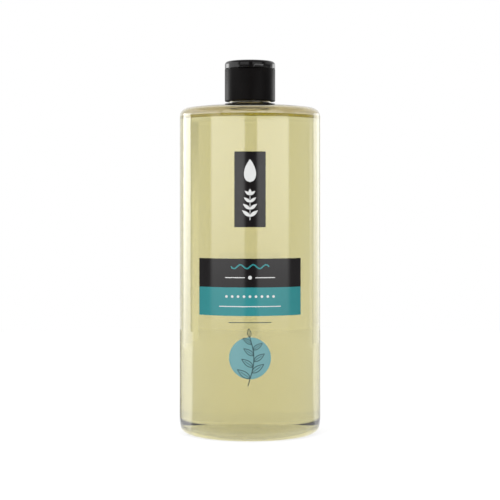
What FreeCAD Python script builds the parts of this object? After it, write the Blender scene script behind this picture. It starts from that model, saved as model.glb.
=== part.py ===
import FreeCAD, Part
import math
import os

# Clear round oil bottle with a black screw-on flip-top cap, in millimetres.
# It stands on z = 0 with its axis on Z. The printed front faces -Y, the cap's hinge +Y.

# Bottle body
body_radius = 42.0
body_wall = 0.9
wall_top = 188.5  # height where the straight side ends
base_corner = 5.0
base_thickness = 1.6
foot_width = 6.0  # flat ring that the bottle stands on
push_up = 4.5  # rise of the base inside that ring
shoulder_corner = 5.0
shoulder_tilt = 8.0  # degrees, slope of the shoulder at its rim
shoulder_dome_radius = 480.0

# Oil
fill_drop = 1.9  # oil level below the end of the straight side
oil_gap = 0.05

# Neck, with room left for a thread of thread_depth on it
neck_radius = 12.55
neck_wall = 1.75
neck_height = 17.2
neck_fillet = 0.8
mouth_round = 0.4
bead_depth = 0.9
bead_height = 1.8
bead_lift = 2.6  # middle of the bead above the neck's root
thread_depth = 1.15
thread_start = 2.6  # top of the thread below the mouth

# Front print, as thin layers on the wall
print_gap = 0.12
print_thickness = 0.1
bands_width = 64.5
title_height = 16.5
subtitle_height = 16.3
bands_drop = 8.15  # seam of the two bands below the middle of the straight side
panel_width = 18.0
panel_height = 43.3
panel_gap = 17.9  # panel above the title band
motif_radius = 12.0
motif_drop = 24.1  # motif's middle below the lower band

# Sealing ring between the mouth and the cap's deck
liner_thickness = 1.0
liner_clearance = 0.3

# Cap base
thread_clearance = 0.25
top_bore_clearance = 0.45
skirt_wall = 1.15
shoulder_clearance = 1.5
lower_edge_round = 0.5
deck_thickness = 1.4
rim_height = 1.0
rim_width = 0.7
end_wall = 1.2  # wall behind the hinge flat and behind the thumb scoop
spout_height = 2.6
spout_root_radius = 4.6
spout_tip_radius = 3.2
spout_edge_round = 0.4
spout_wall = 1.3
orifice_radius = 2.0
orifice_length = 1.5
scoop_depth = 1.5
scoop_height = 8.4
scoop_radius = 40.0

# Lid
seam_gap = 0.2
seam_edge_round = 0.25  # on the outer edges beside the seam
lid_height = 5.0
lid_crown = 0.4
lid_edge_round = 2.0
lid_wall = 1.4
lid_roof = 1.5
lip_depth = 0.6
lip_clearance = 0.2
plug_clearance = 0.15
plug_reach = 1.2
plug_taper = 0.3

# Hinge: two film folds with a snap strap between them
flat_depth = 1.5  # hinge flat in from the cap's round
pocket_height = 5.0
leaf_length = 0.8
leaf_thickness = 0.4
leaf_inner_x = 2.7
leaf_outer_x = 5.5
strap_width = 4.0
strap_thickness = 0.35
strap_reach = 2.6  # each way from the seam

X_AXIS = FreeCAD.Vector(1, 0, 0)
Y_AXIS = FreeCAD.Vector(0, 1, 0)
Z_AXIS = FreeCAD.Vector(0, 0, 1)
FRONT_DEG = -90.0  # the front's direction about Z
SAME = 1e-4  # two sizes closer than this are one


def at(point):
    """A profile point (radius, height) in the XZ plane."""
    return FreeCAD.Vector(point[0], 0, point[1])


def line(start, end):
    return Part.LineSegment(at(start), at(end)).toShape()


def arc(start, middle, end):
    return Part.Arc(at(start), at(middle), at(end)).toShape()


def on_circle(centre, radius, angle):
    """Point of a circle in the profile plane, angle in radians from the +radius direction."""
    return (centre[0] + radius * math.cos(angle), centre[1] + radius * math.sin(angle))


def arc_about(centre, radius, start, end):
    middle = (start + end) / 2
    return arc(*[on_circle(centre, radius, angle) for angle in (start, middle, end)])


def cap_arc(edge_radius, edge_z, rise):
    """Arc from the axis, rise above edge_z, out to the edge of a shallow dome."""
    sphere = (edge_radius**2 + rise**2) / (2 * rise)
    half = edge_radius / 2
    middle_z = edge_z + rise - sphere + math.sqrt(sphere**2 - half**2)
    return arc((0, edge_z + rise), (half, middle_z), (edge_radius, edge_z))


def revolve(edges, degrees=360.0):
    return Part.Face(Part.Wire(edges)).revolve(FreeCAD.Vector(), Z_AXIS, degrees)


def disc(radius, bottom, top):
    return Part.makeCylinder(radius, top - bottom, at((0, bottom)))


def ring(inner, outer, bottom, top):
    return disc(outer, bottom, top).cut(disc(inner, bottom, top))


def box(x0, x1, y0, y1, z0, z1):
    return Part.makeBox(x1 - x0, y1 - y0, z1 - z0, FreeCAD.Vector(x0, y0, z0))


def rod_along_x(radius, x0, x1, y, z):
    return Part.makeCylinder(radius, x1 - x0, FreeCAD.Vector(x0, y, z), X_AXIS)


# Derived heights and radii of the bottle
corner_centre = (body_radius - shoulder_corner, wall_top)
corner_end = math.radians(90.0 - shoulder_tilt)
shoulder_rim = on_circle(corner_centre, shoulder_corner, corner_end)
dome_centre = on_circle(shoulder_rim, shoulder_dome_radius, corner_end + math.pi)


def dome_angle(radius, inset):
    """Angle on the shoulder's dome, or on its inside an inset below, at a radius from the axis."""
    return math.acos((radius - dome_centre[0]) / (shoulder_dome_radius - inset))


def shoulder_z(radius):
    return on_circle(dome_centre, shoulder_dome_radius, dome_angle(radius, 0.0))[1]


neck_root = shoulder_z(neck_radius)
bore_radius = neck_radius - neck_wall
mouth = neck_root + neck_height
foot_inner = body_radius - base_corner - foot_width
straight_middle = (base_corner + wall_top) / 2

# Derived heights and radii of the cap
skirt_bore = neck_radius + thread_depth + thread_clearance
top_bore = neck_radius + top_bore_clearance
cap_radius = skirt_bore + skirt_wall
cap_bottom = shoulder_z(cap_radius) + shoulder_clearance
deck_bottom = mouth + liner_thickness
deck_top = deck_bottom + deck_thickness
seam = deck_top + rim_height
base_top = seam - seam_gap / 2
lid_bottom = seam + seam_gap / 2
lid_top = seam + lid_height
spout_top = deck_top + spout_height
flat_y = cap_radius - flat_depth
inner_rear_y = flat_y - end_wall
inner_front_y = -(cap_radius - scoop_depth - end_wall)
hinge_y = flat_y + leaf_length
far = 2 * cap_radius


def cavity_edges(gap, side_top, top_edges, top_radius, top):
    """Profile of the bottle's inside, a gap in from the wall: up the side, then by the top's edges to its point."""
    wall = body_radius - body_wall - gap
    floor = base_thickness + gap
    corner = base_corner - body_wall - gap
    bend = (wall - corner, floor + corner)
    return [
        cap_arc(foot_inner, floor, push_up),
        line((foot_inner, floor), (bend[0], floor)),
        arc_about(bend, corner, -math.pi / 2, 0.0),
        line((wall, bend[1]), (wall, side_top)),
        *top_edges,
        line((top_radius, top), (0, top)),
        line((0, top), (0, floor + push_up)),
    ]


def bottle_cavity():
    """The whole inside of the bottle, up through the neck."""
    corner = shoulder_corner - body_wall
    dome = shoulder_dome_radius - body_wall
    bore_angle = dome_angle(bore_radius, body_wall)
    bore_root = on_circle(dome_centre, dome, bore_angle)
    edges = [
        arc_about(corner_centre, corner, 0.0, corner_end),
        arc_about(dome_centre, dome, corner_end, bore_angle),
        line(bore_root, (bore_radius, mouth)),
    ]
    return revolve(cavity_edges(0.0, wall_top, edges, bore_radius, mouth))


def rounded(solid, radius, height, fillet):
    """Solid with the fillet on its circular edge at this radius and height."""
    edges = [
        edge
        for edge in solid.Edges
        if not edge.Degenerated
        and isinstance(edge.Curve, Part.Circle)
        and abs(edge.Curve.Radius - radius) < SAME
        and abs(edge.Curve.Center.z - height) < SAME
    ]
    return solid.makeFillet(fillet, edges)


def make_bottle():
    """Blow-moulded shell: push-up base, straight side, low domed shoulder, neck with a bead."""
    foot_outer = body_radius - base_corner
    bead_bottom = neck_root + bead_lift - bead_height / 2
    bead_top = bead_bottom + bead_height
    bead_crest = (neck_radius + bead_depth, neck_root + bead_lift)
    neck_angle = dome_angle(neck_radius, 0.0)
    outer = revolve(
        [
            cap_arc(foot_inner, 0.0, push_up),
            line((foot_inner, 0.0), (foot_outer, 0.0)),
            arc_about((foot_outer, base_corner), base_corner, -math.pi / 2, 0.0),
            line((body_radius, base_corner), (body_radius, wall_top)),
            arc_about(corner_centre, shoulder_corner, 0.0, corner_end),
            arc_about(dome_centre, shoulder_dome_radius, corner_end, neck_angle),
            line((neck_radius, neck_root), (neck_radius, bead_bottom)),
            arc((neck_radius, bead_bottom), bead_crest, (neck_radius, bead_top)),
            line((neck_radius, bead_top), (neck_radius, mouth)),
            line((neck_radius, mouth), (0.0, mouth)),
            line((0.0, mouth), (0.0, push_up)),
        ]
    )
    outer = rounded(outer, neck_radius, neck_root, neck_fillet)
    outer = rounded(outer, neck_radius, mouth, mouth_round)
    return outer.cut(bottle_cavity())


def make_oil():
    """Oil up to just below the shoulder, clear of the wall all round."""
    level = wall_top - fill_drop
    return revolve(cavity_edges(oil_gap, level, [], body_radius - body_wall - oil_gap, level))


def print_layer(width, bottom, top):
    """Curved layer on the front of the wall, width along the arc."""
    inner = body_radius + print_gap
    outer = inner + print_thickness
    corners = [(inner, bottom), (outer, bottom), (outer, top), (inner, top), (inner, bottom)]
    edges = [line(start, end) for start, end in zip(corners, corners[1:])]
    degrees = math.degrees(width / body_radius)
    layer = revolve(edges, degrees)
    layer.rotate(FreeCAD.Vector(), Z_AXIS, FRONT_DEG - degrees / 2)
    return layer


def make_print():
    """The upper panel, the two bands that share an edge, and the round motif below them."""
    bands_seam = straight_middle - bands_drop
    panel_bottom = bands_seam + title_height + panel_gap
    motif_z = bands_seam - subtitle_height - motif_drop
    motif_rod = Part.makeCylinder(
        motif_radius, 2 * body_radius, FreeCAD.Vector(0, -2 * body_radius, motif_z), Y_AXIS
    )
    motif_band = print_layer(4 * motif_radius, motif_z - motif_radius, motif_z + motif_radius)
    return {
        "print_upper_panel": print_layer(panel_width, panel_bottom, panel_bottom + panel_height),
        "print_title_band": print_layer(bands_width, bands_seam, bands_seam + title_height),
        "print_subtitle_band": print_layer(bands_width, bands_seam - subtitle_height, bands_seam),
        "print_motif_disc": motif_band.common(motif_rod),
    }


def make_liner():
    """Foam ring that the cap's deck presses on the mouth."""
    return ring(bore_radius, top_bore - liner_clearance, mouth, deck_bottom)


def hinge_leaves(bottom, top):
    """A pair of thin leaves from the hinge flat out to the fold."""
    right = box(leaf_inner_x, leaf_outer_x, inner_rear_y, hinge_y, bottom, top)
    left = box(-leaf_outer_x, -leaf_inner_x, inner_rear_y, hinge_y, bottom, top)
    return right.fuse(left)


def thumb_scoop():
    """Rod across the front whose round leaves a shallow scoop, deepest at the seam."""
    top = FreeCAD.Vector(0, -(cap_radius - scoop_depth), seam)
    bottom = FreeCAD.Vector(0, -cap_radius, seam - scoop_height)
    chord = top - bottom
    outward = X_AXIS.cross(chord).normalize()
    offset = math.sqrt(scoop_radius**2 - (chord.Length / 2) ** 2)
    centre = (top + bottom) * 0.5 + outward * offset
    return rod_along_x(scoop_radius, -cap_radius, cap_radius, centre.y, centre.z)


def make_cap_base():
    """Threaded skirt with a recessed deck, a spout, a thumb scoop and a hinge pocket."""
    edge_centre = (cap_radius - lower_edge_round, cap_bottom + lower_edge_round)
    seam_edge = (cap_radius - seam_edge_round, base_top - seam_edge_round)
    thread_top = mouth - thread_start
    body = revolve(
        [
            line((skirt_bore, cap_bottom), (edge_centre[0], cap_bottom)),
            arc_about(edge_centre, lower_edge_round, -math.pi / 2, 0.0),
            line((cap_radius, edge_centre[1]), (cap_radius, seam_edge[1])),
            arc_about(seam_edge, seam_edge_round, 0.0, math.pi / 2),
            line((seam_edge[0], base_top), (0.0, base_top)),
            line((0.0, base_top), (0.0, deck_bottom)),
            line((0.0, deck_bottom), (top_bore, deck_bottom)),
            line((top_bore, deck_bottom), (top_bore, thread_top)),
            line((top_bore, thread_top), (skirt_bore, thread_top)),
            line((skirt_bore, thread_top), (skirt_bore, cap_bottom)),
        ]
    )
    recess = disc(cap_radius - rim_width, deck_top, seam)
    recess = recess.common(box(-far, far, inner_front_y, inner_rear_y, deck_top, seam))
    body = body.cut(recess)
    spout = Part.makeCone(spout_root_radius, spout_tip_radius, spout_height, at((0, deck_top)))
    body = body.fuse(rounded(spout, spout_tip_radius, spout_top, spout_edge_round))
    body = body.cut(disc(orifice_radius, deck_bottom, spout_top))
    funnel_radius = spout_root_radius - spout_wall
    funnel_height = spout_top - orifice_length - deck_bottom
    body = body.cut(Part.makeCone(funnel_radius, orifice_radius, funnel_height, at((0, deck_bottom))))
    body = body.cut(box(-far, far, flat_y, far, seam - pocket_height, seam))
    body = body.cut(thumb_scoop())
    body = body.fuse(hinge_leaves(base_top - leaf_thickness, base_top))
    return body.removeSplitter()


def make_lid():
    """Domed lid with a locating lip, a plug for the spout and its half of the hinge."""
    edge = lid_top - lid_crown
    edge_centre = (cap_radius - lid_edge_round, edge - lid_edge_round)
    seam_edge = (cap_radius - seam_edge_round, lid_bottom + seam_edge_round)
    shell = revolve(
        [
            line((0.0, lid_bottom), (seam_edge[0], lid_bottom)),
            arc_about(seam_edge, seam_edge_round, -math.pi / 2, 0.0),
            line((cap_radius, seam_edge[1]), (cap_radius, edge_centre[1])),
            arc_about(edge_centre, lid_edge_round, 0.0, math.pi / 2),
            cap_arc(edge_centre[0], edge, lid_crown),
            line((0.0, lid_top), (0.0, lid_bottom)),
        ]
    )
    roof = lid_top - lid_roof
    inside = cap_radius - lid_wall
    ahead_of_hinge = box(-far, far, -far, inner_rear_y, lid_bottom, roof)
    shell = shell.cut(disc(inside, lid_bottom, roof).common(ahead_of_hinge))
    shell = shell.cut(box(-far, far, flat_y, far, lid_bottom, lid_top))
    lip = ring(inside, cap_radius - rim_width - lip_clearance, lid_bottom - lip_depth, roof)
    lip_front = inner_front_y + lip_clearance
    lip_rear = inner_rear_y - lip_clearance
    lip = lip.common(box(-far, far, lip_front, lip_rear, lid_bottom - lip_depth, roof))
    plug_radius = orifice_radius - plug_clearance
    plug_tip = spout_top - plug_reach
    plug = disc(plug_radius, spout_top, roof)
    tip = Part.makeCone(plug_radius - plug_taper, plug_radius, plug_reach, at((0, plug_tip)))
    lid = shell.multiFuse([lip, plug, tip, hinge_leaves(lid_bottom, lid_bottom + leaf_thickness)])
    return lid.removeSplitter()


def hinge_fold(x0, x1):
    """Half-round film that joins the ends of one pair of leaves."""
    outer = rod_along_x(seam_gap / 2 + leaf_thickness, x0, x1, hinge_y, seam)
    inner = rod_along_x(seam_gap / 2, x0, x1, hinge_y, seam)
    return outer.cut(inner).common(box(x0, x1, hinge_y, far, seam - far, seam + far))


def make_strap():
    """Springy strap across the seam that snaps the lid open or shut."""
    half = strap_width / 2
    return box(-half, half, flat_y, flat_y + strap_thickness, seam - strap_reach, seam + strap_reach)


nodes = {
    "bottle": make_bottle(),
    "oil": make_oil(),
    **make_print(),
    "cap_liner": make_liner(),
    "cap_base": make_cap_base(),
    "cap_lid": make_lid(),
    "hinge_film_left": hinge_fold(-leaf_outer_x, -leaf_inner_x),
    "hinge_film_right": hinge_fold(leaf_inner_x, leaf_outer_x),
    "snap_strap": make_strap(),
}

os.makedirs("parts", exist_ok=True)
for name, shape in nodes.items():
    shape.exportStep("parts/" + name + ".step")
    extent = shape.BoundBox
    print(
        f"{name}: solids {len(shape.Solids)}, valid {shape.isValid()}, {shape.Volume:.1f} mm3, "
        f"z {extent.ZMin:.2f} to {extent.ZMax:.2f}"
    )
print(f"seam {seam:.3f}, hinge y {hinge_y:.3f}, cap bottom {cap_bottom:.3f}, mouth {mouth:.3f}")
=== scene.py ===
"""Clear bottle of pale oil with a printed front and a black flip-top screw cap, in a white studio."""

import math

import bpy
import numpy as np
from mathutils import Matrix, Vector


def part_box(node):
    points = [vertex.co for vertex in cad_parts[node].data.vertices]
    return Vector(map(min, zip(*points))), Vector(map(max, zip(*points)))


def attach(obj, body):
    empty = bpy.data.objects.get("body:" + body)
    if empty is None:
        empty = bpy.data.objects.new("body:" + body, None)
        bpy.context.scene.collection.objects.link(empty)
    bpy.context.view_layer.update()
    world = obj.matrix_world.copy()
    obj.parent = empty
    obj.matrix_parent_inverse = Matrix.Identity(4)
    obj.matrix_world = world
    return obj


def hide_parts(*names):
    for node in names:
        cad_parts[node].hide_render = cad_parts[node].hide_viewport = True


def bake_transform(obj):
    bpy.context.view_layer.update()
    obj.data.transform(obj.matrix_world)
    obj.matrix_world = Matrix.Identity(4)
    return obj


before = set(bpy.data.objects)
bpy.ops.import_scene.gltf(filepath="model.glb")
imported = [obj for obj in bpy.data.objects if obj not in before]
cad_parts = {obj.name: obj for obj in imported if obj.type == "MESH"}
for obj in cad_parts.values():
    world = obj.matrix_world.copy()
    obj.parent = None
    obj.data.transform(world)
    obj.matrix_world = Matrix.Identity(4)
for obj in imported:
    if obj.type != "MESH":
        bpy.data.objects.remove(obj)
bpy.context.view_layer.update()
scene = bpy.context.scene
MM = 0.001

# Bottle, in millimetres
BODY_RADIUS = 42.0
WALL = 0.9
BASE_CORNER = 5.0
FLOOR = 1.6
FOOT_INNER = 31.0
PUSH_UP = 4.5
WALL_TOP = 188.5
SHOULDER_CORNER = 5.0
SHOULDER_TILT = 8.0
DOME_RADIUS = 480.0
NECK_RADIUS = 12.55
BORE_RADIUS = 10.8
NECK_FILLET = 0.3
BEAD_LIFT = 2.6
BEAD_RADIUS = 0.9
BORE_ROOT_ROUND = 1.5
# Over these heights the shoulder takes on a painted reflection of the oil, which also lays painted shade on
# the neck
PAINTED_REFLECTION_SPAN = (188.3 * MM, 189.5 * MM)  # heights over which the shoulder takes on its cast

# Oil: it wets the wall, so its skin lies a hair inside the plastic, and it climbs the wall at its edge
WETTING = 0.03
CLIMB = 1.9
CLIMB_REACH = 1.6
CLIMB_WIDTH = 3.2

# Screw thread, right-handed
PITCH = 4.233
THREAD_DEPTH = 1.15
THREAD_DROP = 9.6  # start of the thread below the mouth
CAP_THREAD_WALL = 1.15

# Printed layers stand on one another by this much
INK = 0.04

# Studio, in metres, with turns in radians on the floor and in degrees for panels and lamps
FLOOR_RADIUS = 0.75
FLOOR_Z = -0.0001
MIRROR_ASIDE = 0.039  # where the skin near the bottle's edge mirrors the floor: aside and in front
MIRROR_FRONT = 0.0156
BAND_TURN = 0.75  # bearing of the floor's bright bands from there
BAND_SWING = -0.15  # both bands are swung this far round the bottle
PANEL_PLACE = (0.46, 0.3)
PANEL_TURN = 33
PANEL_NEAR = -0.13
PANEL_FOOT = 0.001
PANEL_TOP = 0.3
LAMP_PLACE = (0.7, -1.1, 0.8)
LAMP_TILT = 62
LAMP_TURN = 32.5
CAMERA_PLACE = (0.0, -0.898, 0.1357)


def extent(node):
    """A CAD node's lowest and highest corners, in millimetres."""
    low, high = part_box(node)
    return np.array(low) / MM, np.array(high) / MM


MOUTH = extent("bottle")[1][2]
OIL_LEVEL = extent("oil")[1][2]
SEAM = (extent("hinge_film_left")[0][2] + extent("hinge_film_left")[1][2]) / 2
HINGE_Y = extent("hinge_film_left")[0][1]


def linear(code):
    """An sRGB hex colour as the linear colour that a shader takes."""
    channels = np.array([int(code[place : place + 2], 16) for place in (1, 3, 5)]) / 255
    low, high = channels / 12.92, ((channels + 0.055) / 1.055) ** 2.4
    return (*np.where(channels <= 0.04045, low, high), 1.0)


def around(code, spread):
    """Two linear colours, a share darker and a share lighter than an sRGB hex colour."""
    base = np.array(linear(code)[:3])
    return (*base * (1 - spread), 1.0), (*base * (1 + spread), 1.0)


def add(tree, kind, inputs=None, **settings):
    """Adds one node with its settings; an input is a value or another node's output."""
    made = tree.nodes.new("ShaderNode" + kind)
    for key, value in settings.items():
        setattr(made, key, value)
    for key, value in (inputs or {}).items():
        if isinstance(value, bpy.types.NodeSocket):
            tree.links.new(value, made.inputs[key])
        else:
            made.inputs[key].default_value = value
    return made


def noise(tree, place, spacing, detail):
    """Soft noise with a spacing in millimetres, as an output."""
    made = add(tree, "TexNoise", {"Vector": place, "Scale": 1 / (spacing * MM), "Detail": detail})
    return made.outputs["Fac"]


def mapped(tree, value, span, levels, **settings):
    """A value carried from one span onto another and held at both ends, as an output."""
    ends = {"From Min": span[0], "From Max": span[1], "To Min": levels[0], "To Max": levels[1]}
    return add(tree, "MapRange", {"Value": value, **ends}, **settings).outputs["Result"]


def figured(tree, operation, *values):
    """One step of arithmetic on values, as an output."""
    return add(tree, "Math", dict(enumerate(values)), operation=operation).outputs[0]


def toned(tree, factor, first, second):
    """A colour between two, as an output."""
    mix = add(tree, "Mix", {"Factor": factor, "A": first, "B": second}, data_type="RGBA")
    return mix.outputs["Result"]


def bumped(tree, height, strength, depth):
    """Fine relief of a depth in millimetres, as a normal."""
    relief = add(tree, "Bump", {"Height": height, "Strength": strength, "Distance": depth * MM})
    return relief.outputs["Normal"]


def material_tree(name):
    """A new material with an empty tree, its output and the Object coordinates that patterns use."""
    material = bpy.data.materials.new(name)
    material.use_nodes = True
    tree = material.node_tree
    tree.nodes.clear()
    return material, tree, add(tree, "OutputMaterial"), add(tree, "TexCoord").outputs["Object"]


def clear_polyester():
    """Blow-moulded clear polyester: as clear as glass and polished, with slow waves where the wall
    stretched. Its shoulder and neck are tinted olive, a painted reflection of the oil below them that also
    lays painted shade on the neck."""
    material, tree, output, place = material_tree("clear_blow_moulded_polyester")
    waves = noise(tree, place, 18, 1.0)
    height = add(tree, "SeparateXYZ", {0: place}).outputs["Z"]
    # Painted reflection: above the shoulder's corner an olive colour stands in for the oil mirrored there,
    # and darkens the neck as painted shade
    above = mapped(tree, height, PAINTED_REFLECTION_SPAN, (0.0, 1.0))
    skin = add(tree, "BsdfPrincipled", {
        "Base Color": toned(tree, above, linear("#FDFEFD"), linear("#DCD3B4")),
        "Roughness": mapped(tree, waves, (0.0, 1.0), (0.0, 0.02)), "IOR": 1.64,
        "Transmission Weight": 1.0, "Normal": bumped(tree, waves, 0.15, 0.1),
    })
    tree.links.new(skin.outputs["BSDF"], output.inputs["Surface"])
    return material


def pale_oil():
    """Refined plant oil: clear, with a stronger bend of light than water, pale yellow through its depth."""
    material, tree, output, place = material_tree("pale_yellow_oil")
    swirl = noise(tree, place, 30, 0.0)
    skin = add(tree, "BsdfPrincipled", {
        "Base Color": (1.0, 1.0, 1.0, 1.0), "Roughness": mapped(tree, swirl, (0.0, 1.0), (0.0, 0.01)),
        "IOR": 1.47, "Transmission Weight": 1.0, "Specular Tint": (0.0, 0.0, 0.0, 1.0),
    })
    depth = add(tree, "VolumeAbsorption", {"Color": (0.72, 0.65, 0.14, 1.0), "Density": 20.0})
    tree.links.new(skin.outputs["BSDF"], output.inputs["Surface"])
    tree.links.new(depth.outputs["Volume"], output.inputs["Volume"])
    return material


def painted_glow_oil_edge():
    """The climbing edge of the oil, tinted deep gold as painted light: the colour stands in for the light
    that the edge throws up from the whole depth below it.
    """
    material, tree, output, place = material_tree("painted_gold_glow_oil_edge")
    swirl = noise(tree, place, 14, 1.0)
    # Painted light: this gold tint stands in for light gathered from the oil's depth, not for a colour the
    # oil has at its edge
    glow = add(tree, "BsdfPrincipled", {
        "Base Color": toned(tree, swirl, linear("#C4B535"), linear("#D2C348")),
        "Roughness": 0.2, "IOR": 1.01, "Transmission Weight": 1.0,
    })
    tree.links.new(glow.outputs["BSDF"], output.inputs["Surface"])
    return material


def screen_ink(name, code):
    """Cured screen-print ink: opaque and glossy, with a faint unevenness from the mesh that laid it."""
    material, tree, output, place = material_tree(name)
    laid = noise(tree, place, 3, 3.0)
    coat = add(tree, "BsdfPrincipled", {
        "Base Color": toned(tree, laid, *around(code, 0.04)),
        "Roughness": mapped(tree, laid, (0.0, 1.0), (0.1, 0.18)), "IOR": 1.46,
        "Normal": bumped(tree, laid, 0.1, 0.02),
    })
    tree.links.new(coat.outputs["BSDF"], output.inputs["Surface"])
    return material


def black_polypropylene(name, code, smooth, rough, mirror, grain, relief):
    """Moulded black polypropylene. Grain is the spacing in millimetres of the tool's skin; an eroded skin
    shades itself, so it mirrors less than a polished one."""
    material, tree, output, place = material_tree(name)
    skin = noise(tree, place, grain, 2.0)
    wear = noise(tree, place, 9, 2.0)
    shell = add(tree, "BsdfPrincipled", {
        "Base Color": toned(tree, wear, *around(code, 0.1)),
        "Roughness": mapped(tree, wear, (0.0, 1.0), (smooth, rough)), "IOR": 1.49,
        "Specular IOR Level": mirror, "Normal": bumped(tree, skin, relief, 0.02),
    })
    tree.links.new(shell.outputs["BSDF"], output.inputs["Surface"])
    return material


def closed_cell_foam():
    """Pressed polyethylene foam: white, matt, with cells of about a third of a millimetre."""
    material, tree, output, place = material_tree("white_closed_cell_foam")
    cells = add(tree, "TexVoronoi", {"Vector": place, "Scale": 1 / (0.35 * MM)}).outputs["Distance"]
    foam = add(tree, "BsdfPrincipled", {
        "Base Color": toned(tree, cells, linear("#E2E2DE"), linear("#F4F4F1")),
        "Roughness": 0.75, "IOR": 1.5, "Normal": bumped(tree, cells, 0.4, 0.05),
    })
    tree.links.new(foam.outputs["BSDF"], output.inputs["Surface"])
    return material


CLEAR = clear_polyester()
OIL = pale_oil()
PAINTED_GLOW_OIL = painted_glow_oil_edge()
BLACK_INK = screen_ink("black_screen_ink", "#120F10")
TEAL_INK = screen_ink("teal_screen_ink", "#2F8487")
BLUE_INK = screen_ink("pale_blue_screen_ink", "#6F9EA2")
WHITE_INK = screen_ink("white_screen_ink", "#D4D5D4")
SLATE_INK = screen_ink("slate_screen_ink", "#33474A")
SATIN_BLACK = black_polypropylene("satin_black_polypropylene", "#0B0909", 0.34, 0.42, 0.09, 0.25, 0.4)
GLOSS_BLACK = black_polypropylene("polished_black_polypropylene", "#0D0B0C", 0.05, 0.09, 0.5, 1.2, 0.06)
FOAM = closed_cell_foam()


def make_piece(name, points, faces, finish, body, slot, stands_for=(), crease=35.0):
    """A mesh at the origin with its place in its points (millimetres), faces turned outwards by its
    signed volume."""
    points = np.asarray(points, float) * MM
    mesh = bpy.data.meshes.new(name)
    mesh.from_pydata(points.tolist(), [], faces)
    mesh.calc_loop_triangles()
    corners = np.empty(3 * len(mesh.loop_triangles), int)
    mesh.loop_triangles.foreach_get("vertices", corners)
    first, second, third = points[corners.reshape(-1, 3)].transpose(1, 0, 2)
    if np.sum(first * np.cross(second, third)) < 0:
        mesh.flip_normals()
    mesh.shade_smooth()
    mesh.set_sharp_from_angle(angle=math.radians(crease))
    mesh.materials.append(finish)
    piece = bpy.data.objects.new(name, mesh)
    scene.collection.objects.link(piece)
    if isinstance(body, str):
        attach(piece, body)
    else:
        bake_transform(piece)
    if stands_for:
        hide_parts(*stands_for)
    return piece


def bow(centre, radius, start, end, count):
    """Points on a circular arc of the profile plane, between two angles in degrees."""
    turn = np.radians(np.linspace(start, end, count))
    return np.stack([centre[0] + radius * np.cos(turn), centre[1] + radius * np.sin(turn)], 1)


def run(start, end):
    """A straight stretch, with a point close to each end so that the bends' shading stays at the bends."""
    start, end = np.array(start, float), np.array(end, float)
    near = 0.2 * (end - start) / np.linalg.norm(end - start)
    return np.stack([start, start + near, end - near, end])


def dish(edge, height, rise, count=20):
    """Shallow spherical dome from the axis, a rise above the height of its edge, out to the edge."""
    sphere = (edge**2 + rise**2) / (2 * rise)
    radius = np.linspace(0.0, edge - 0.6, count)
    dome = np.stack([radius, height + rise - sphere + np.sqrt(sphere**2 - radius**2)], 1)
    return np.concatenate([dome, [[edge, height + 0.05], [edge + 0.5, height]]])


def joined(*stretches):
    """Stretches of a profile end to end, without the points that two of them share."""
    rows = np.concatenate(stretches)
    apart = np.linalg.norm(np.diff(rows, axis=0), axis=1) > 1e-5
    return rows[np.concatenate([[True], apart])]


CORNER = np.array([BODY_RADIUS - SHOULDER_CORNER, WALL_TOP])
CORNER_END = 90.0 - SHOULDER_TILT
RIM_WAY = np.array([math.cos(math.radians(CORNER_END)), math.sin(math.radians(CORNER_END))])
DOME = CORNER + (SHOULDER_CORNER - DOME_RADIUS) * RIM_WAY


def shoulder(radius, inset):
    """Height of the domed shoulder, or of its inside an inset below, at a radius from the axis."""
    return DOME[1] + np.sqrt((DOME_RADIUS - inset) ** 2 - (radius - DOME[0]) ** 2)


def shoulder_line(start, end, inset):
    """The shoulder's profile between two radii."""
    radius = np.linspace(start, end, 24)
    return np.stack([radius, shoulder(radius, inset)], 1)


def circle(steps):
    """Evenly spaced points of the unit circle."""
    angle = np.linspace(0.0, 2 * np.pi, steps, endpoint=False)
    return np.stack([np.cos(angle), np.sin(angle)], 1)


def carried(radius, height, steps):
    """Rings round the axis, one for each radius and height."""
    level = np.tile(np.asarray(height)[:, None, None], (1, steps, 1))
    return np.concatenate([np.asarray(radius)[:, None, None] * circle(steps), level], 2)


def turned(profile, steps=240):
    """Profile rows (radius, height) carried once round the axis; its two ends lie on the axis and close
    to points."""
    radius, height = profile[1:-1].T
    rings = carried(radius, height, steps).reshape(-1, 3)
    points = np.concatenate([[[0, 0, profile[0, 1]]], rings, [[0, 0, profile[-1, 1]]]])
    here = np.arange(steps)
    ahead = np.roll(here, -1)
    rows = 1 + steps * np.arange(len(radius) - 1)[:, None]
    sides = np.stack([rows + here, rows + ahead, rows + steps + ahead, rows + steps + here], 2)
    last = len(points) - 1
    foot = np.stack([np.zeros(steps, int), 1 + ahead, 1 + here], 1)
    head = np.stack([last - steps + here, last - steps + ahead, np.full(steps, last)], 1)
    return points, foot.tolist() + sides.reshape(-1, 4).tolist() + head.tolist()


def ringed(profile, steps=240):
    """A closed profile of rows (radius, height) carried once round the axis."""
    rings = carried(*profile.T, steps).transpose(1, 0, 2)
    index = np.arange(steps * len(profile)).reshape(steps, -1)
    beside = np.roll(index, -1, 1)
    faces = np.stack([index, beside, np.roll(beside, -1, 0), np.roll(index, -1, 0)], 2)
    return rings.reshape(-1, 3), faces.reshape(-1, 4).tolist()


def lofted(rings):
    """Closed rings of equal count carried from the first to the last, with both ends capped."""
    count, along = rings.shape[:2]
    here = np.arange(along)
    ahead = np.roll(here, -1)
    rows = along * np.arange(count - 1)[:, None]
    sides = np.stack([rows + here, rows + ahead, rows + along + ahead, rows + along + here], 2)
    ends = [here[::-1].tolist(), (here + along * (count - 1)).tolist()]
    return rings.reshape(-1, 3), sides.reshape(-1, 4).tolist() + ends


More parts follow.
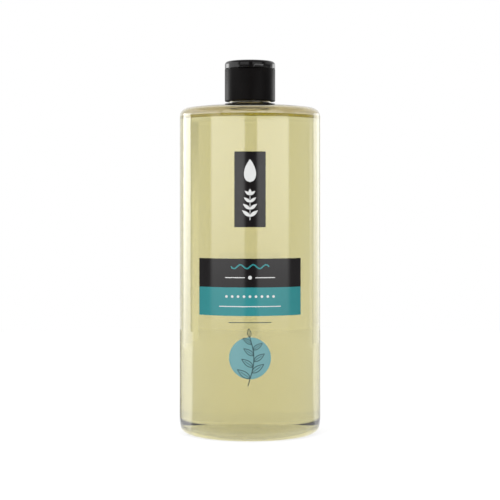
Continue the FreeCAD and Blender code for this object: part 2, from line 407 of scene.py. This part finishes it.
def bottle_profile():
    """Outside from the base's middle up to the mouth, then the inside back down to the floor's middle."""
    rim = BODY_RADIUS - BASE_CORNER
    inner = BODY_RADIUS - WALL
    corner = BASE_CORNER - WALL
    neck_foot = NECK_RADIUS + NECK_FILLET
    fillet_z = shoulder(neck_foot, 0.0) + NECK_FILLET
    bead_z = shoulder(NECK_RADIUS, 0.0) + BEAD_LIFT
    bore_foot = BORE_RADIUS + BORE_ROOT_ROUND
    root_z = shoulder(bore_foot, WALL) + BORE_ROOT_ROUND
    outside = [
        dish(FOOT_INNER, 0.0, PUSH_UP),
        run((FOOT_INNER + 0.5, 0.0), (rim, 0.0)),
        bow((rim, BASE_CORNER), BASE_CORNER, -90, 0, 20),
        run((BODY_RADIUS, BASE_CORNER), (BODY_RADIUS, WALL_TOP)),
        bow(CORNER, SHOULDER_CORNER, 0, CORNER_END, 28),
        shoulder_line((CORNER + SHOULDER_CORNER * RIM_WAY)[0], neck_foot, 0.0),
        bow((neck_foot, fillet_z), NECK_FILLET, -90, -180, 8),
        bow((NECK_RADIUS, bead_z), BEAD_RADIUS, -90, 90, 12),
        run((NECK_RADIUS, bead_z + BEAD_RADIUS), (NECK_RADIUS, MOUTH - 0.4)),
        bow((NECK_RADIUS - 0.4, MOUTH - 0.4), 0.4, 0, 90, 6),
    ]
    inside = [
        bow((BORE_RADIUS + 0.3, MOUTH - 0.3), 0.3, 90, 180, 6),
        run((BORE_RADIUS, MOUTH - 0.3), (BORE_RADIUS, root_z)),
        bow((bore_foot, root_z), BORE_ROOT_ROUND, 180, 270, 10),
        shoulder_line(bore_foot, (CORNER + (SHOULDER_CORNER - WALL) * RIM_WAY)[0], WALL),
        bow(CORNER, SHOULDER_CORNER - WALL, CORNER_END, 0, 26),
        run((inner, WALL_TOP), (inner, FLOOR + corner)),
        bow((rim, FLOOR + corner), corner, 0, -90, 18),
        run((rim, FLOOR), (FOOT_INNER + 0.5, FLOOR)),
        dish(FOOT_INNER, FLOOR, PUSH_UP)[::-1],
    ]
    return joined(*outside, *inside)


def oil_profile():
    """The wetted inside from the floor up, then the level surface back to the axis."""
    rim = BODY_RADIUS - BASE_CORNER
    inner = BODY_RADIUS - WALL + WETTING
    corner = BASE_CORNER - WALL + WETTING
    bottom = FLOOR - WETTING
    return joined(
        dish(FOOT_INNER, bottom, PUSH_UP),
        run((FOOT_INNER + 0.5, bottom), (rim, bottom)),
        bow((rim, bottom + corner), corner, -90, 0, 18),
        run((inner, bottom + corner), (inner, OIL_LEVEL)),
        run((inner, OIL_LEVEL), (0.0, OIL_LEVEL)),
    )


def oil_climb():
    """Where the oil climbs the wall: its height falls off as exp(-distance) from the wall to the level."""
    away = np.linspace(0.0, CLIMB_WIDTH, 24)
    fall = np.exp(-away / CLIMB_REACH)
    level = OIL_LEVEL + WETTING
    height = level + CLIMB * (fall - fall[-1]) / (1.0 - fall[-1])
    foot = [BODY_RADIUS - WALL, level]
    return ringed(np.concatenate([np.stack([BODY_RADIUS - WALL - away, height], 1), [foot]]))


make_piece("bottle_shell", *turned(bottle_profile()), CLEAR, "bottle", "clear_plastic", ["bottle"])
make_piece("oil_fill", *turned(oil_profile()), OIL, "bottle", "pale_oil", ["oil"])
# The climbing edge carries the painted gold light of the oil's depth
make_piece("oil_climb", *oil_climb(), PAINTED_GLOW_OIL, "bottle", "pale_oil")


def thread_ridge(radius, depth, foot, crest, start_z, turns, count=220):
    """A ridge along a right-hand helix: foot wide at the wall, crest wide at its depth, run out to
    nothing at both ends."""
    along = np.linspace(0.0, 1.0, count)
    swell = np.clip(np.minimum(along, 1.0 - along) / 0.07, 0.0, 1.0)
    swell = (swell * swell * (3.0 - 2.0 * swell))[:, None]
    sign = math.copysign(1.0, depth)
    flank = np.array([-0.2 * sign, 0.0, 0.55 * depth, 0.9 * depth, depth])
    out = np.concatenate([flank, flank[::-1]])
    half = np.array([foot, foot, 0.5 * (foot + crest), 1.12 * crest, 0.8 * crest]) / 2
    rise = np.concatenate([-half, half[::-1]])
    reach = radius + np.where(out * sign > 0, out * swell, out)
    angle = 2 * np.pi * turns * along[:, None]
    height = start_z + PITCH * turns * along[:, None] + rise
    return lofted(np.stack([reach * np.cos(angle), reach * np.sin(angle), height], 2))


thread_z = MOUTH - THREAD_DROP
neck_ridge = thread_ridge(NECK_RADIUS, THREAD_DEPTH, 2.4, 0.9, thread_z, 1.5)
make_piece("neck_thread", *neck_ridge, CLEAR, "bottle", "clear_plastic")
cap_bore = extent("cap_base")[1][0] - CAP_THREAD_WALL
cap_ridge = thread_ridge(cap_bore, -1.0, 2.0, 0.8, thread_z + PITCH / 2, 1.25)
make_piece("cap_thread", *cap_ridge, SATIN_BLACK, "cap", "satin_black_plastic")


def merged(node):
    """A CAD node's triangles with its shared corners made one, so that its round faces shade smooth."""
    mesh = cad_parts[node].data
    points = np.empty(3 * len(mesh.vertices))
    mesh.vertices.foreach_get("co", points)
    corners = np.empty(len(mesh.loops), int)
    mesh.loops.foreach_get("vertex_index", corners)
    places, index = np.unique(points.reshape(-1, 3).round(7), axis=0, return_inverse=True)
    triangles = index.ravel()[corners].reshape(-1, 3)
    whole = (triangles != np.roll(triangles, 1, 1)).all(1)
    return places / MM, triangles[whole].tolist()


for name, node, finish, body, slot in (
    ("cap_base_shell", "cap_base", SATIN_BLACK, "cap", "satin_black_plastic"),
    ("cap_lid_shell", "cap_lid", GLOSS_BLACK, "lid", "gloss_black_plastic"),
    ("sealing_ring", "cap_liner", FOAM, "liner", "white_foam"),
):
    make_piece(name, *merged(node), finish, body, slot, [node], 25.0)


def fold(half):
    """Two points on the hinge line, half a height to each side of the seam, in metres, about which the real
    piece bends from the cap to the lid.
    """
    return (0, HINGE_Y * MM, (SEAM - half) * MM), (0, HINGE_Y * MM, (SEAM + half) * MM)


def hinge_film(node):
    """Half-round film behind the hinge line: a half ring from leaf to leaf, carried across."""
    low, high = extent(node)
    outer = (high[2] - low[2]) / 2
    ring = np.concatenate([
        bow((HINGE_Y, SEAM), outer, -90, 90, 24), bow((HINGE_Y, SEAM), outer - 0.4, 90, -90, 24),
    ])
    across = np.tile(np.linspace(low[0], high[0], 12)[:, None, None], (1, len(ring), 1))
    return lofted(np.concatenate([across, np.tile(ring, (12, 1, 1))], 2))


def snap_strap():
    """Flat springy strap across the seam: a rounded oblong section carried up, thinned at the seam."""
    low, high = extent("snap_strap")
    height = np.linspace(low[2], high[2], 61)
    half, thick = (high[0] - low[0]) / 2, high[1] - low[1]
    turn = np.linspace(0.0, 2 * np.pi, 32, endpoint=False)
    section_x = np.sign(np.cos(turn)) * np.abs(np.cos(turn)) ** 0.3 * half
    section_y = (np.sign(np.sin(turn)) * np.abs(np.sin(turn)) ** 0.5 + 1.0) * thick / 2
    thin = 1.0 - 0.3 * np.exp(-(((height - SEAM) / 0.7) ** 2))
    rings = np.empty((61, 32, 3))
    rings[..., 0] = section_x
    rings[..., 1] = low[1] + section_y * thin[:, None]
    rings[..., 2] = height[:, None]
    return lofted(rings)


for side in ("left", "right"):
    make_piece(
        f"hinge_fold_{side}", *hinge_film(f"hinge_film_{side}"), SATIN_BLACK, ("cap", "lid", *fold(0.5)),
        "satin_black_plastic", [f"hinge_film_{side}"],
    )
make_piece(
    "snap_strap_band", *snap_strap(), SATIN_BLACK, ("cap", "lid", *fold(1.6)),
    "satin_black_plastic", ["snap_strap"],
)

# Print: each patch is a grid of places on the unrolled front, x along the arc and z up, in millimetres


def oblong(x0, x1, z0, z1):
    """A filled oblong, with a point every 0.6 mm along the arc."""
    x, z = np.linspace(x0, x1, max(2, int(abs(x1 - x0) / 0.6) + 1)), np.linspace(z0, z1, 2)
    return np.meshgrid(x, z, indexing="ij")


def rule(x0, x1, z):
    """A thin level line."""
    return oblong(x0, x1, z - 0.25, z + 0.25)


def spot(x, z, radius, count=9):
    """A square grid drawn out to a disc: each side of the square bows to a quarter of the circle."""
    u, v = np.meshgrid(np.linspace(-1, 1, count), np.linspace(-1, 1, count), indexing="ij")
    return x + radius * u * np.sqrt(1 - v * v / 2), z + radius * v * np.sqrt(1 - u * u / 2)


def stroke(x, z, width):
    """A ribbon of one width along a line: half the width to each side, along the line's normal."""
    way = np.stack([np.gradient(x), np.gradient(z)])
    way /= np.linalg.norm(way, axis=0)
    side = np.linspace(0.5, -0.5, 3) * width
    return x[:, None] + way[1][:, None] * side, z[:, None] - way[0][:, None] * side


def leaf_lines(foot, tip, width, count):
    """A leaf's middle line from foot to tip, the way along it and its half width, which bows as a sine."""
    s = np.linspace(0.0, 1.0, count)
    foot, tip = np.array(foot), np.array(tip)
    way = (tip - foot) / np.linalg.norm(tip - foot)
    return foot + s[:, None] * (tip - foot), way, width / 2 * np.sin(np.pi * s**0.8)


def blade(foot, tip, width):
    """A filled leaf from foot to tip, with a blunt end of a hundredth of its width."""
    middle, way, half = leaf_lines(foot, tip, width, 13)
    half = np.maximum(half, 0.01 * width)[:, None]
    across = np.linspace(-1.0, 1.0, 5)
    return middle[:, :1] - way[1] * half * across, middle[:, 1:] + way[0] * half * across


def leaf_edges(foot, tip, width, line):
    """The two edges and the midrib of a leaf, as strokes."""
    middle, way, half = leaf_lines(foot, tip, width, 17)
    drawn = [
        stroke(middle[:, 0] - way[1] * half * side, middle[:, 1] + way[0] * half * side, line)
        for side in (-1, 1)
    ]
    return drawn + [stroke(middle[:13, 0], middle[:13, 1], 0.7 * line)]


def drop(x, z, width, height):
    """A filled drop: half width as the root of the way up, times the 0.9th power of what is left."""
    s = np.linspace(0.0, 1.0, 25)
    half = width * 0.95 * np.sqrt(s) * (1 - s) ** 0.9 + 0.01
    across = np.linspace(-1.0, 1.0, 7)
    return x + half[:, None] * across, z - height / 2 + height * s[:, None] + 0 * across


def shell_of(patch, low, high):
    """A patch bent round the bottle between two radii, closed by a rim, as points and quads."""
    x, z = patch
    angle = x / BODY_RADIUS - np.pi / 2
    layers = [
        np.stack([radius * np.cos(angle), radius * np.sin(angle), z], 2).reshape(-1, 3)
        for radius in (high, low)
    ]
    rows, columns = x.shape
    index = np.arange(rows * columns).reshape(rows, columns)
    quads = np.stack([index[:-1, :-1], index[1:, :-1], index[1:, 1:], index[:-1, 1:]], 2).reshape(-1, 4)
    loop = np.concatenate([index[:-1, 0], index[-1, :-1], index[:0:-1, -1], index[0, :0:-1]])
    beside = np.roll(loop, -1)
    under = rows * columns
    rim = np.stack([loop, loop + under, beside + under, beside], 1)
    faces = np.concatenate([quads, quads[:, ::-1] + under, rim])
    corner = index[:2, :2].ravel()
    flat = (x.flat[corner[2]] - x.flat[corner[0]]) * (z.flat[corner[1]] - z.flat[corner[0]])
    flat -= (x.flat[corner[1]] - x.flat[corner[0]]) * (z.flat[corner[2]] - z.flat[corner[0]])
    return np.concatenate(layers), faces if flat > 0 else faces[:, ::-1]


def printed(name, patches, ink, slot, layer):
    """Patches of one ink in one piece, a number of layers above the solid print."""
    low = PRINT_FACE + INK * layer
    points, faces, used = [], [], 0
    for patch in patches:
        place, quads = shell_of(patch, low, low + INK)
        points.append(place)
        faces.append(quads + used)
        used += len(place)
    make_piece(name, np.concatenate(points), np.concatenate(faces).tolist(), ink, "bottle", slot)


PRINT_FACE = float(np.hypot(*extent("print_upper_panel")[0][:2] * (0, 1)))
for node, ink in (
    ("print_upper_panel", BLACK_INK), ("print_title_band", BLACK_INK),
    ("print_subtitle_band", TEAL_INK), ("print_motif_disc", BLUE_INK),
):
    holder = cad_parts[node]
    holder.data.materials.clear()
    holder.data.materials.append(ink)


def sprig(x, z, height, leaves, length, width):
    """An upright stem with leaves in pairs that shorten towards the tip, and one leaf at the tip."""
    patches = [stroke(np.full(9, x), np.linspace(z, z + 0.85 * height, 9), 0.35)]
    for step in np.linspace(0.12, 0.8, leaves):
        foot = (x, z + step * height)
        reach = length * (1 - 0.45 * step)
        for side in (-1, 1):
            tip = (x + side * 0.8 * reach, foot[1] + 0.62 * reach)
            patches.append(blade(foot, tip, width * (1 - 0.35 * step)))
    patches.append(blade((x, z + 0.82 * height), (x, z + height), 0.8 * width))
    return patches


def twig(z, height, leaves):
    """A bowed stem with alternate leaves drawn in line, for the round motif."""
    s = np.linspace(0.0, 1.0, 41)
    stem_x, stem_z = 2.2 * np.sin(np.pi * (s - 0.15) * 1.2), z + height * s
    drawn = [stroke(stem_x, stem_z, 0.45)]
    for number, step in enumerate(np.linspace(0.16, 0.86, leaves)):
        foot = np.array([np.interp(step, s, stem_x), z + height * step])
        side = 1 if number % 2 else -1
        reach = 9.5 - 4.0 * step
        tip = foot + reach * np.array([side * 0.82, 0.57])
        drawn += leaf_edges(foot, tip, 0.36 * reach, 0.4)
    tip_foot = np.array([stem_x[-1], stem_z[-1]])
    return drawn + leaf_edges(tip_foot, tip_foot + (-0.6, 5.0), 1.9, 0.4)


panel_low, panel_high = extent("print_upper_panel")
title_low, title_high = extent("print_title_band")
teal_low, teal_high = extent("print_subtitle_band")
disc_low, disc_high = extent("print_motif_disc")

ornament = [drop(0.0, panel_high[2] - 11.0, 9.0, 13.0), *sprig(0.0, panel_low[2] + 4.0, 18.0, 4, 6.0, 2.2)]
printed("panel_ornament", ornament, WHITE_INK, "black_ink", 1)
wave_x = np.linspace(-11.0, 11.0, 81)
wave_z = title_high[2] - 4.6 + 1.1 * np.sin(wave_x * 2 * np.pi / 7.33)
printed("title_wave", [stroke(wave_x, wave_z, 0.8)], TEAL_INK, "teal_ink", 1)
title_z = title_low[2] + 5.6
title_marks = [rule(3.0, 14.5, title_z), rule(-14.5, -3.0, title_z), spot(0.0, title_z, 1.1)]
printed("title_rules", title_marks, WHITE_INK, "black_ink", 1)
teal_dots = [spot(place, teal_high[2] - 5.2, 0.75) for place in np.linspace(-13.6, 13.6, 9)]
teal_marks = [*teal_dots, rule(-18.0, 18.0, teal_low[2] + 5.4)]
printed("subtitle_dots", teal_marks, WHITE_INK, "teal_ink", 1)
lower_line = oblong(-12.3, 12.3, teal_low[2] - 4.0, teal_low[2] - 3.55)
printed("lower_rule", [lower_line], SLATE_INK, "black_ink", -2)
disc_z = (disc_low[2] + disc_high[2]) / 2
printed("motif_twig", twig(disc_z - 16.0, 28.0, 7), SLATE_INK, "pale_blue_ink", 1)

# The room as tiers: between which sines of the elevation each takes over, and its level at bearings in
# degrees from the camera
ROOM_PEAK = 3.2
ROOM_TIERS = (
    ((-1.0, -0.9), (
        (-140, 1.0), (-112, 0.45), (-14, 0.45), (-6, 0.15), (9, 0.15), (17, 0.45), (112, 0.45), (140, 1.0),
    )),
    ((-0.13, 0.052), (
        (-140, 1.0), (-112, 0.14), (-69, 0.14), (-62, 3.2), (-10.5, 3.2), (-6.5, 0.15), (9.5, 0.15),
        (13.5, 3.2), (62, 3.2), (69, 0.14), (112, 0.14), (140, 1.0),
    )),
    ((0.056, 0.062), (
        (-140, 1.0), (-110, 1.6), (-56, 1.6), (-45, 0.08), (66, 0.08), (76, 0.5), (110, 0.5), (140, 1.0),
    )),
    ((0.1, 0.13), (
        (-140, 1.0), (-110, 1.6), (-62, 1.6), (-50, 0.1), (-43, 0.9), (-7, 0.9), (-4, 0.05), (10, 0.05),
        (13, 0.9), (54, 0.9), (60, 0.1), (74, 0.1), (80, 0.8), (110, 0.8), (140, 1.0),
    )),
    ((0.5, 0.64), ((-140, 0.8), (-90, 0.2), (90, 0.2), (140, 0.8))),
)


def studio():
    """White to the eye and through clear plastic. For light and reflections it is a room: two tall
    softboxes beside the camera with a dark gap between them, dim lights above them, a pale wall on the
    left and white behind."""
    world = bpy.data.worlds.new("white_studio")
    scene.world = world
    world.use_nodes = True
    tree = world.node_tree
    tree.nodes.clear()
    way = add(tree, "SeparateXYZ", {0: add(tree, "TexCoord").outputs["Generated"]})
    ahead = figured(tree, "MULTIPLY", way.outputs["Y"], -1.0)
    bearing = figured(tree, "ARCTAN2", way.outputs["X"], ahead)
    share = figured(tree, "MULTIPLY_ADD", bearing, 1 / math.tau, 0.5)
    room = (0.0, 0.0, 0.0, 1.0)
    for span, stops in ROOM_TIERS:
        ramp = add(tree, "ValToRGB", {"Fac": share})
        bands = ramp.color_ramp
        bands.interpolation = "EASE"
        while len(bands.elements) < len(stops):
            bands.elements.new(0.5)
        for band, (degrees, level) in zip(bands.elements, stops):
            band.position = degrees / 360 + 0.5
            band.color = (*[level / ROOM_PEAK] * 3, 1.0)
        lift = mapped(tree, way.outputs["Z"], span, (0.0, 1.0), interpolation_type="SMOOTHSTEP")
        room = toned(tree, lift, room, ramp.outputs["Color"])
    ray = add(tree, "LightPath")
    seen = figured(tree, "MAXIMUM", ray.outputs["Is Camera Ray"], ray.outputs["Is Transmission Ray"])
    light = add(tree, "Background", {"Color": room, "Strength": ROOM_PEAK})
    white = add(tree, "Background", {"Color": (1.0, 1.0, 1.0, 1.0), "Strength": 1.0})
    both = add(tree, "MixShader", {0: seen, 1: light.outputs[0], 2: white.outputs[0]})
    add(tree, "OutputWorld", {"Surface": both.outputs[0]})


def floor_paper():
    """Matt white paper that glows a little to the eye, so that it reads as white and still takes the
    shadow. The bottle's skin mirrors it brightly close by, and in two bands in line with the panels."""
    material, tree, output, place = material_tree("white_backdrop_paper")
    fibre = noise(tree, place, 4, 2.0)
    tone = toned(tree, fibre, (0.39, 0.39, 0.39, 1.0), (0.41, 0.41, 0.41, 1.0))
    paper = add(tree, "BsdfDiffuse", {"Color": tone})
    swung = add(tree, "VectorRotate", {"Vector": place, "Angle": BAND_SWING})
    spot_on = add(tree, "SeparateXYZ", {0: swung.outputs["Vector"]})
    aside = figured(tree, "ABSOLUTE", spot_on.outputs["X"])
    across = figured(tree, "SUBTRACT", aside, MIRROR_ASIDE)
    beyond = figured(tree, "ADD", spot_on.outputs["Y"], MIRROR_FRONT)
    turn = figured(tree, "ARCTAN2", across, beyond)
    off = figured(tree, "ABSOLUTE", figured(tree, "SUBTRACT", turn, BAND_TURN))
    strong = mapped(tree, turn, (0.55, 1.0), (0.9, 2.1))
    share = mapped(tree, spot_on.outputs["X"], (-0.02, 0.02), (1.0, 0.55))
    lit = figured(tree, "MULTIPLY", strong, share)
    band = mapped(tree, off, (0.3, 0.45), (lit, 0.1), interpolation_type="SMOOTHSTEP")
    away = add(tree, "VectorMath", {0: place}, operation="LENGTH").outputs["Value"]
    close = mapped(tree, away, (0.06, 0.09), (1.3, 0.0))
    mirrored = figured(tree, "MAXIMUM", band, close)
    through = mapped(tree, spot_on.outputs["Y"], (0.15, 0.7), (0.63, 0.66))
    # A ray bent by clear plastic counts as glossy too, so its own level makes up the difference
    bent = figured(tree, "SUBTRACT", through, mirrored)
    ray = add(tree, "LightPath")
    level = figured(tree, "MULTIPLY", ray.outputs["Is Camera Ray"], 0.75)
    level = figured(tree, "MULTIPLY_ADD", ray.outputs["Is Transmission Ray"], bent, level)
    level = figured(tree, "MULTIPLY_ADD", ray.outputs["Is Glossy Ray"], mirrored, level)
    glow = add(tree, "Emission", {"Strength": level})
    both = add(tree, "AddShader", {0: paper.outputs[0], 1: glow.outputs[0]})
    tree.links.new(both.outputs[0], output.inputs["Surface"])
    return material


def floor():
    """A flat disc just under the bottle, as rings of a polar grid."""
    count, steps = 5, 96
    radius = np.linspace(0.0, FLOOR_RADIUS, count + 1)[1:]
    rings = carried(radius, np.full(count, FLOOR_Z), steps)
    here = np.arange(steps)
    ahead = np.roll(here, -1)
    rows = 1 + steps * np.arange(count - 1)[:, None]
    sides = np.stack([rows + here, rows + steps + here, rows + steps + ahead, rows + ahead], 2)
    middle = np.stack([np.zeros(steps, int), 1 + here, 1 + ahead], 1)
    points = [[0, 0, FLOOR_Z], *rings.reshape(-1, 3).tolist()]
    mesh = bpy.data.meshes.new("studio_floor")
    mesh.from_pydata(points, [], middle.tolist() + sides.reshape(-1, 4).tolist())
    mesh.materials.append(floor_paper())
    ground = bpy.data.objects.new("studio_floor", mesh)
    scene.collection.objects.link(ground)


def lit_panel(name, strength, start):
    """Lit panel, brighter at its far end low down. The bottle's skin mirrors it brightly from a start across
    the panel, and more so higher up; the light that the oil bends into view is dimmer."""
    material, tree, output, place = material_tree(name)
    spot_on = add(tree, "SeparateXYZ", {0: place})
    across, up = spot_on.outputs["X"], spot_on.outputs["Z"]
    edge = mapped(tree, up, (0.14, 0.21), (1.1, 0.8))
    bent = mapped(tree, across, (0.19, 0.21), (0.85, edge))
    strong = mapped(tree, up, (0.0, 0.25), (1.4 * strength, 4.6 * strength))
    mirrored = mapped(tree, across, (start - 0.01, start + 0.01), (0.0, strong))
    ray = add(tree, "LightPath")
    bare = figured(tree, "SUBTRACT", ray.outputs["Is Glossy Ray"], ray.outputs["Is Transmission Ray"])
    level = figured(tree, "MULTIPLY_ADD", bare, mirrored, bent)
    glow = add(tree, "Emission", {"Strength": level})
    tree.links.new(glow.outputs[0], output.inputs["Surface"])
    return material


def side_panel(name, side, reach, finish):
    """A panel beside and behind the bottle, which the bottle's edges bend and mirror into view."""
    corners = [
        (PANEL_NEAR, 0.0, PANEL_FOOT), (reach, 0.0, PANEL_FOOT),
        (reach, 0.0, PANEL_TOP), (PANEL_NEAR, 0.0, PANEL_TOP),
    ]
    mesh = bpy.data.meshes.new(name)
    mesh.from_pydata(corners, [], [(0, 1, 2, 3)])
    mesh.materials.append(finish)
    panel = bpy.data.objects.new(name, mesh)
    panel.location = (side * PANEL_PLACE[0], PANEL_PLACE[1], 0.0)
    panel.rotation_euler = (0.0, 0.0, math.radians(90 + side * PANEL_TURN))
    panel.visible_camera = False
    scene.collection.objects.link(panel)


def fill_lamp(name, side):
    """A large soft lamp in front that lights the print evenly and stays out of the mirror images."""
    lamp = bpy.data.lights.new(name, "AREA")
    lamp.size = 0.6
    lamp.energy = 9.0
    holder = bpy.data.objects.new(name, lamp)
    holder.location = (side * LAMP_PLACE[0], LAMP_PLACE[1], LAMP_PLACE[2])
    holder.rotation_euler = (math.radians(LAMP_TILT), 0.0, math.radians(side * LAMP_TURN))
    holder.visible_camera = holder.visible_glossy = holder.visible_transmission = False
    scene.collection.objects.link(holder)


studio()
floor()
for name, side, reach, strength, start in (("left", -1, 0.125, 1.0, -0.2), ("right", 1, 0.285, 0.42, 0.0)):
    side_panel(f"{name}_side_panel", side, reach, lit_panel(f"{name}_lit_panel", strength, start))
    fill_lamp(f"{name}_fill_lamp", side)

camera_data = bpy.data.cameras.new("photo_camera")
camera_data.sensor_width = 36.0
camera_data.lens = 108.0
camera_data.shift_y = -0.09
camera = bpy.data.objects.new("photo_camera", camera_data)
camera.location = CAMERA_PLACE
camera.rotation_euler = (math.radians(90), 0.0, 0.0)
scene.collection.objects.link(camera)
scene.camera = camera
scene.view_settings.view_transform = "Standard"
